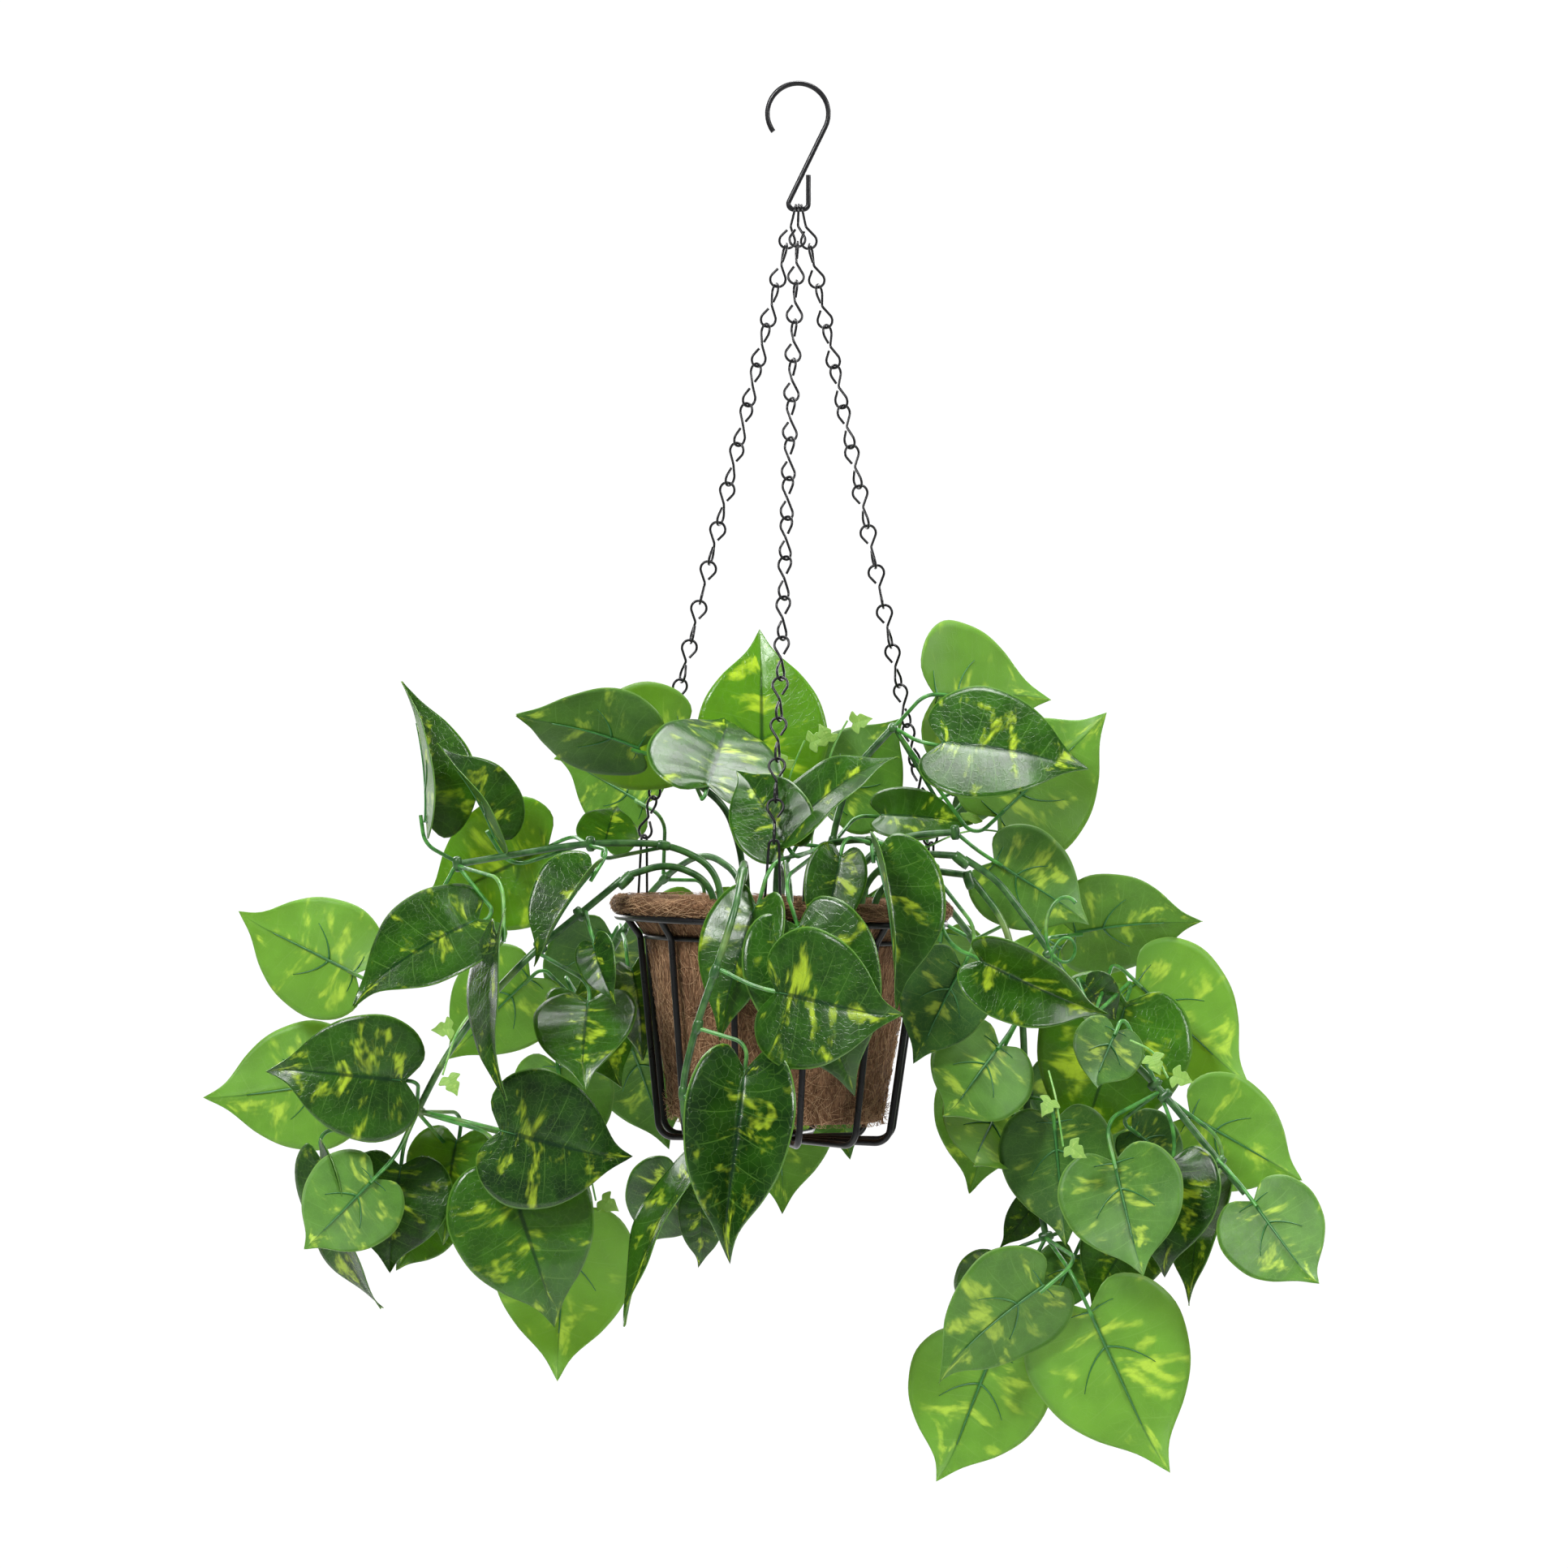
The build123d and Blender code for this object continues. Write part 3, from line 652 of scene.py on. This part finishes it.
def sheet_from(grid, veins, plan, half_thickness, number, pile, to_world, tint):
    """Adds a thin closed blade made from a grid of places, and returns the grid's normals."""
    rows, columns = grid.shape[:2]
    du = np.gradient(grid, axis=0)
    dv = np.gradient(grid, axis=1)
    normal = np.cross(du, dv)
    size = np.linalg.norm(normal, axis=-1, keepdims=True)
    normal = np.where(size > 1e-9, normal / np.maximum(size, 1e-9), np.array([0.0, 0.0, 1.0]))
    normal[0, :] = normal[2, :].mean(0)
    normal[-1, :] = normal[-3, columns // 2]
    top = grid + normal * half_thickness
    under = grid - normal * half_thickness
    count = rows * columns
    faces, indices = [], []
    for i in range(rows - 1):
        for k in range(columns - 1):
            a = i * columns + k
            quad = (a, a + columns, a + columns + 1, a + 1)
            faces.append(quad)
            indices.append(0)
            faces.append(tuple(reversed([q + count for q in quad])))
            indices.append(1)
        for k, flip in ((0, True), (columns - 1, False)):
            a = i * columns + k
            quad = (a, a + columns, a + columns + count, a + count)
            faces.append(tuple(reversed(quad)) if flip else quad)
            indices.append(0)
    verts = np.vstack([top.reshape(-1, 3), under.reshape(-1, 3)])
    placed = to_world(verts)
    shift = np.array([number * 10.0, 0.0])
    both_veins = np.vstack([veins.reshape(-1, 2)] * 2) + shift
    drift = np.array([number * 2.37, number * 1.13])
    both_plan = np.vstack([plan.reshape(-1, 2)] * 2) + drift
    pile.add(placed, faces, indices, both_veins, both_plan, tint)
    return normal


def between(grid, row, column):
    """Value of a grid at a fractional row and column."""
    i, k = int(min(row, grid.shape[0] - 2)), int(min(column, grid.shape[1] - 2))
    u, v = row - i, column - k
    return ((1 - u) * ((1 - v) * grid[i, k] + v * grid[i, k + 1])
            + u * ((1 - v) * grid[i + 1, k] + v * grid[i + 1, k + 1]))


def spine_lines(rows, columns):
    """Moulded spine and its two pairs of side ribs: rows and columns of the grid, and girth."""
    middle = columns // 2
    lines = [([(r, middle) for r in np.linspace(1.0, rows * 0.80, 22)], 1.0)]
    steps = np.linspace(0, 1, 9)
    for start, climb in ((2.5, 3.0), (rows * 0.42, 4.0)):
        for side in (-1, 1):
            path = [(start + climb * t**1.6, middle + side * 5.2 * t) for t in steps]
            lines.append((path, 0.62))
    return lines


def add_leaf(pile, axes, shape, number, rng, tint, detailed=True):
    """Adds one blade, and unless it is plain, its spine on the underside."""
    base, along, across, up, length, fold, width = axes
    grid, veins, plan = leaf_surface(width, fold, shape, rng)
    turn = np.array([along, across, up])

    def to_world(points):
        return (points * length) @ turn + base

    half = LEAF_THICKNESS / 2 / length
    normal = sheet_from(grid, veins, plan, half, number, pile, to_world, tint)
    if not detailed:
        return
    radius = SPINE_RADIUS / length
    for cells, share in spine_lines(*grid.shape[:2]):
        centre = [between(grid, r, c) - between(normal, r, c) * (half + radius * 0.3 * share)
                  for r, c in cells]
        taper = np.linspace(1.0, 0.30, len(cells)) * SPINE_RADIUS * share
        verts, faces = tube(to_world(np.array(centre)), taper, 6)
        pile.add(verts, faces, 2)


def body_of_node(node):
    for body, nodes in frame["record"]["behaviour"]["bodies"].items():
        if node in nodes:
            return body
    raise KeyError(node)


def foliage(materials):
    """Variegated leaves in place of the plain CAD blades."""
    number = 0
    for node, obj in sorted(frame["nodes"].items()):
        if not node.endswith("_leaves"):
            continue
        placed, found = islands(obj)
        pile = Pile()
        pale_and_backlit = PALE_AND_BACKLIT_LEAVES.get(node, {})
        for place, island in enumerate(found):
            rng = np.random.default_rng(100 + number)
            # How far each leaf is moved towards the light colour: partly its own yellow-green
            # tone, partly painted brightness of light shining through it.
            tint = pale_and_backlit.get(place, rng.uniform(0.05, 0.30))
            axes = leaf_axes(obj, placed, island)
            add_leaf(pile, axes, (MARGIN_X, MARGIN_Y), number, rng, tint)
            number += 1
        made = pile.build(node.replace("_leaves", "_printed_leaves"), materials)
        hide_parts(node)
        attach(made, body_of_node(node))


def sprigs(leaf_face, tendril):
    """Lobed leaves on the ivy sprigs. Their threads keep the CAD shape."""
    number = 500
    for node in ("crown_sprigs", "left_sprigs", "right_sprigs"):
        obj = frame["nodes"][node]
        placed, found = islands(obj)
        pile = Pile()
        for used, faces in found:
            points = placed[used]
            if diagonal(points) > IVY_LEAF_LIMIT:
                numbers = {v: i for i, v in enumerate(used)}
                own = [tuple(numbers[v] for v in obj.data.polygons[f].vertices) for f in faces]
                pile.add(points, own, 2)
                continue
            rng = np.random.default_rng(number)
            axes = leaf_axes(obj, placed, (used, faces))
            add_leaf(pile, axes, (IVY_X, IVY_Y), number, rng, 0.6, detailed=False)
            number += 1
        made = pile.build(node + "_ivy", [leaf_face, leaf_face, tendril])
        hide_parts(node)
        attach(made, body_of_node(node))


# ---------------------------------------------------------------- stems
def stems(main_stem, stalk):
    """Two greens on each CAD vine: its longest piece is the stem and the rest are stalks.

    In a rooted end the stem is the piece with most faces.
    """
    for node, obj in sorted(frame["nodes"].items()):
        if slot_of(node) != "stem":
            continue
        placed, found = islands(obj)
        obj.data.materials.clear()
        obj.data.materials.append(main_stem)
        obj.data.materials.append(stalk)
        found.sort(key=lambda island: -len(island[1]))
        sizes = [diagonal(placed[used]) for used, _ in found]
        trunk = int(np.argmax(sizes)) if not node.endswith("_root") else 0
        for i, (_, faces) in enumerate(found):
            for f in faces:
                obj.data.polygons[f].material_index = 0 if i == trunk else 1
        smooth_faces(obj.data)
        if len(found) > 1:
            collars(node, placed, found, trunk, main_stem)


def collars(node, placed, found, trunk, material):
    """Moulded sheaths where each stalk leaves the stem."""
    stem_points = placed[found[trunk][0]]
    tree = tree_of(stem_points)
    pile = Pile()
    taken = []
    for i, (used, _) in enumerate(found):
        if i == trunk:
            continue
        best = min((tree.find(p) for p in placed[used][::3]), key=lambda hit: hit[2])
        near = np.array([stem_points[k] for _, k, _ in tree.find_range(best[0], COLLAR_SEARCH)])
        if len(near) < 8:
            continue
        centre = near.mean(0)
        _, _, axes = np.linalg.svd(near - centre)
        if any(np.linalg.norm(centre - p) < COLLAR_SPACING for p in taken):
            continue
        taken.append(centre)
        steps = np.linspace(-1, 1, 9)
        path = [centre + axes[0] * COLLAR_HALF_LENGTH * k for k in steps]
        ends = STEM_RADIUS * 0.9
        radii = [ends + (COLLAR_RADIUS - ends) * (1 - k * k) ** 0.5 for k in steps]
        verts, faces = tube(path, radii, 12)
        pile.add(verts, faces, 0)
    if pile.faces:
        made = pile.build(node + "_node_sheaths", [material])
        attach(made, body_of_node(node))


def rim_sleeves(material):
    """Sleeves that cover the joint between each trailing vine and its rooted end."""
    for node in sorted(frame["nodes"]):
        if not node.endswith("_root"):
            continue
        root_points, _ = islands(frame["nodes"][node])
        vine_points, found = islands(frame["nodes"][node[: -len("_root")]])
        trunk = max((vine_points[used] for used, _ in found), key=diagonal)
        tree = tree_of(root_points)
        near_vine = sorted((tree.find(p)[2], tuple(p)) for p in trunk)[:SLEEVE_SAMPLE]
        end_b = np.array([p for _, p in near_vine]).mean(0)
        order = np.argsort(np.linalg.norm(root_points - end_b, axis=1))[:SLEEVE_SAMPLE]
        end_a = root_points[order].mean(0)
        axis = Vector(end_b - end_a).normalized()
        middle = Vector((end_a + end_b) / 2)
        verts, faces = tube([middle + axis * k for k in SLEEVE_STATIONS], SLEEVE_RADII, 16)
        made = mesh_object(node.replace("_root", "_rim_sleeve"), verts, faces, [material])
        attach(made, "basket")


def curled_tendril(material):
    """Loose looped tendril at the right-hand vine."""
    x0, y0, z0 = TENDRIL_START
    path = []
    for k in range(TENDRIL_POINTS):
        t = k / (TENDRIL_POINTS - 1)
        turn = 2 * math.pi * TENDRIL_TURNS * t + 0.6
        size = TENDRIL_SIZE * (1 - 0.45 * t)
        path.append((x0 + size * math.cos(turn), y0 - 0.012 * t,
                     z0 - 0.034 * t + size * 1.5 * math.sin(turn)))
    verts, faces = tube(path, np.linspace(0.0013, 0.0007, TENDRIL_POINTS), 8)
    made = mesh_object("right_vine_tendril", verts, faces, [material])
    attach(made, "right_vine")


# ---------------------------------------------------------------- coir liner
def outer_radius(z):
    """Radius of the liner's outside at a height."""
    if z > NECK_Z:
        share = min((z - NECK_Z) / (LIP_BOTTOM - NECK_Z), 1.0)
        return NECK_RADIUS + (MOUTH_RADIUS - NECK_RADIUS) * share
    share = (NECK_Z - z) / (NECK_Z - FOOT_Z)
    return NECK_RADIUS + (FOOT_RADIUS - NECK_RADIUS) * share


def liner_profile():
    """Radius and height from the foot up the outside, over the rolled lip and down inside."""
    line = [(0.0001, FOOT_Z)]
    line += [(FOOT_RADIUS * k / 6, FOOT_Z) for k in range(1, 6)]
    line += [(FOOT_RADIUS - 0.002, FOOT_Z + 0.0003), (FOOT_RADIUS, FOOT_Z + 0.002)]
    line += [(outer_radius(z), z)
             for z in np.linspace(FOOT_Z + 0.006, LIP_BOTTOM - 0.0006, 26)]
    centre_r = LIP_RADIUS - LIP_ROUND
    line += [(centre_r + LIP_ROUND * math.cos(a), LIP_MIDDLE + LIP_ROUND * math.sin(a))
             for a in np.linspace(-math.pi / 2, math.pi / 2, 9)]
    line += [(MOUTH_RADIUS - LINER_WALL, LIP_TOP - 0.0006)]
    line += [(outer_radius(z) - LINER_WALL, z)
             for z in np.linspace(LIP_TOP - 0.006, FOOT_Z + 0.008, 14)]
    line += [(FOOT_RADIUS - LINER_WALL - 0.002, FOOT_Z + LINER_WALL)]
    line += [(0.0001, FOOT_Z + LINER_WALL)]
    return line


def coir_liner(felt, strand_light, strand_dark):
    rng = np.random.default_rng(5)
    pressed_coir(rng, felt)
    coir_fibres(rng, [strand_light, strand_dark])


def pressed_coir(rng, felt):
    """Lumpy felt shell of the liner."""
    profile = liner_profile()
    sides = LINER_SIDES
    angle = np.linspace(0, 2 * math.pi, sides, endpoint=False)
    lumps = sum(np.sin(angle * f + rng.uniform(0, 6.28)) / f for f in (3, 5, 9, 17, 31)) * 0.0011
    verts, faces = [], []
    for i, (r, z) in enumerate(profile):
        wobble = rng.normal(0, 0.00022, sides) + lumps * min(r / 0.07, 1.0)
        rr = np.maximum(r + wobble * (1.0 if r > 0.001 else 0.0), 0.0001)
        zz = z + (rng.normal(0, 0.0002, sides) + lumps * 0.5 if r > 0.05 else 0.0 * angle)
        verts.append(np.stack([rr * np.cos(angle), rr * np.sin(angle), zz], -1))
        if i:
            for k in range(sides):
                a, b = (i - 1) * sides + k, (i - 1) * sides + (k + 1) % sides
                faces.append((a, b, b + sides, a + sides))
    last = (len(profile) - 1) * sides
    faces.append(tuple(reversed(range(sides))))
    faces.append(tuple(range(last, last + sides)))
    verts = np.vstack(verts)
    made = mesh_object("pressed_coir", verts, faces, [felt])
    made.matrix_world = HUNG
    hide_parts("coir_liner")
    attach(made, "basket")


def coir_fibres(rng, materials):
    """Loose strands on the wall, the lip and the foot, mostly upright near the neck."""
    pile = Pile()
    for _ in range(FIBRES_ON_WALL):
        z0 = rng.uniform(FOOT_Z + 0.001, LIP_BOTTOM - 0.001)
        upright = rng.random() < (0.85 if z0 > NECK_Z - 0.03 else 0.25)
        heading = rng.normal(math.pi / 2, 0.25) if upright else rng.uniform(0, math.pi)
        add_fibre(pile, rng, z0, heading, rng.uniform(0.008, 0.030), rng.uniform(0.0002, 0.0012))
    for _ in range(FIBRES_ON_LIP):
        add_lip_fibre(pile, rng)
    for _ in range(FIBRES_ON_FOOT):
        z0 = rng.uniform(FOOT_Z, FOOT_Z + 0.012)
        add_fibre(pile, rng, z0, rng.uniform(0, math.pi), rng.uniform(0.006, 0.018),
                  rng.uniform(0.0008, 0.0040))
    strands = pile.build("coir_fibres", materials)
    strands.matrix_world = HUNG
    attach(strands, "basket")


def add_strand(pile, rng, path):
    width = rng.uniform(*FIBRE_RADIUS)
    verts, faces = tube(path, [width] * len(path), 4)
    pile.add(verts, faces, 0 if rng.random() < PALE_FIBRE_SHARE else 1)


def add_fibre(pile, rng, z0, heading, length, stray):
    """Curved strand on the wall whose ends lift off by stray."""
    turn0 = rng.uniform(0, 2 * math.pi)
    curve = rng.normal(0, 18.0)
    path = []
    for k in range(5):
        d = (k / 4 - 0.5) * length
        direction = heading + curve * d
        z = z0 + d * math.sin(direction)
        z = min(max(z, FOOT_Z - 0.0015), LIP_BOTTOM)
        r = outer_radius(z)
        lift = 0.0004 + stray * (2 * abs(k / 4 - 0.5)) ** 2
        turn = turn0 + d * math.cos(direction) / r
        path.append(((r + lift) * math.cos(turn), (r + lift) * math.sin(turn), z))
    add_strand(pile, rng, path)


def add_lip_fibre(pile, rng):
    """Strand that wraps round the rolled lip."""
    turn0 = rng.uniform(0, 2 * math.pi)
    length = rng.uniform(0.008, 0.030)
    slant = rng.normal(0, 0.9)
    start = rng.uniform(-1.4, 1.5)
    lift = rng.uniform(0.0001, 0.0010)
    path = []
    for k in range(5):
        d = k / 4 - 0.5
        roll = start + slant * d * 1.6
        turn = turn0 + d * length / LIP_RADIUS
        out = LIP_ROUND + lift * (1 + 3 * d * d)
        r = LIP_RADIUS - LIP_ROUND + out * math.cos(roll)
        path.append((r * math.cos(turn), r * math.sin(turn), LIP_MIDDLE + out * math.sin(roll)))
    add_strand(pile, rng, path)


# ---------------------------------------------------------------- finishes on CAD pieces
def slot_of(node):
    for part in frame["record"]["subparts"]:
        if part["node"] == node:
            return part["material_slot"]
    return None


def repaint(slot, material):
    """One material for all CAD pieces of a slot."""
    for node, obj in sorted(frame["nodes"].items()):
        if slot_of(node) == slot:
            obj.data.materials.clear()
            obj.data.materials.append(material)
            smooth_faces(obj.data)


# ---------------------------------------------------------------- build
camera()
studio()

# In each leaf material the colour given for the midrib groove is painted shade.
leaf_top = leaf_material(
    "leaf_top", dark=(0.0018, 0.017, 0.0026), light=(0.048, 0.185, 0.008),
    splash=(0.46, 0.62, 0.035), vein=(0.11, 0.25, 0.035), groove_shade=(0.002, 0.028, 0.006),
    glow=(0.62, 0.82, 0.015), glow_share=0.30, gloss=0.22, grain_strength=0.20)
leaf_under = leaf_material(
    "leaf_underside", dark=(0.016, 0.088, 0.010), light=(0.120, 0.31, 0.030),
    splash=(0.48, 0.64, 0.07), vein=(0.17, 0.34, 0.06), groove_shade=(0.010, 0.090, 0.025),
    glow=(0.62, 0.84, 0.020), glow_share=0.36, gloss=0.46, grain_strength=0.12)
ivy_face = leaf_material(
    "ivy_leaf", dark=(0.16, 0.36, 0.05), light=(0.30, 0.50, 0.10),
    splash=(0.42, 0.60, 0.14), vein=(0.35, 0.50, 0.18), groove_shade=(0.20, 0.40, 0.08),
    glow=(0.50, 0.70, 0.08), glow_share=0.30, gloss=0.45, grain_strength=0.10)
main_stem = stem_material("main_stem", (0.014, 0.065, 0.012), (0.045, 0.13, 0.028))
stalk = stem_material("leaf_stalk", (0.018, 0.11, 0.012), (0.060, 0.24, 0.034))
ivy_stem = stem_material("ivy_tendril", (0.10, 0.30, 0.05), (0.22, 0.42, 0.10))

foliage([leaf_top, leaf_under, spine_material()])
sprigs(ivy_face, ivy_stem)
stems(main_stem, stalk)
rim_sleeves(main_stem)
curled_tendril(stalk)
coir_liner(coir_material("coir_felt", (0.085, 0.040, 0.018), (0.30, 0.165, 0.085)),
           coir_material("coir_strand_light", (0.34, 0.20, 0.11), (0.55, 0.36, 0.20)),
           coir_material("coir_strand_dark", (0.10, 0.045, 0.020), (0.22, 0.11, 0.05)))
repaint("black_wire", powder_coat())
repaint("foam", foam_material())
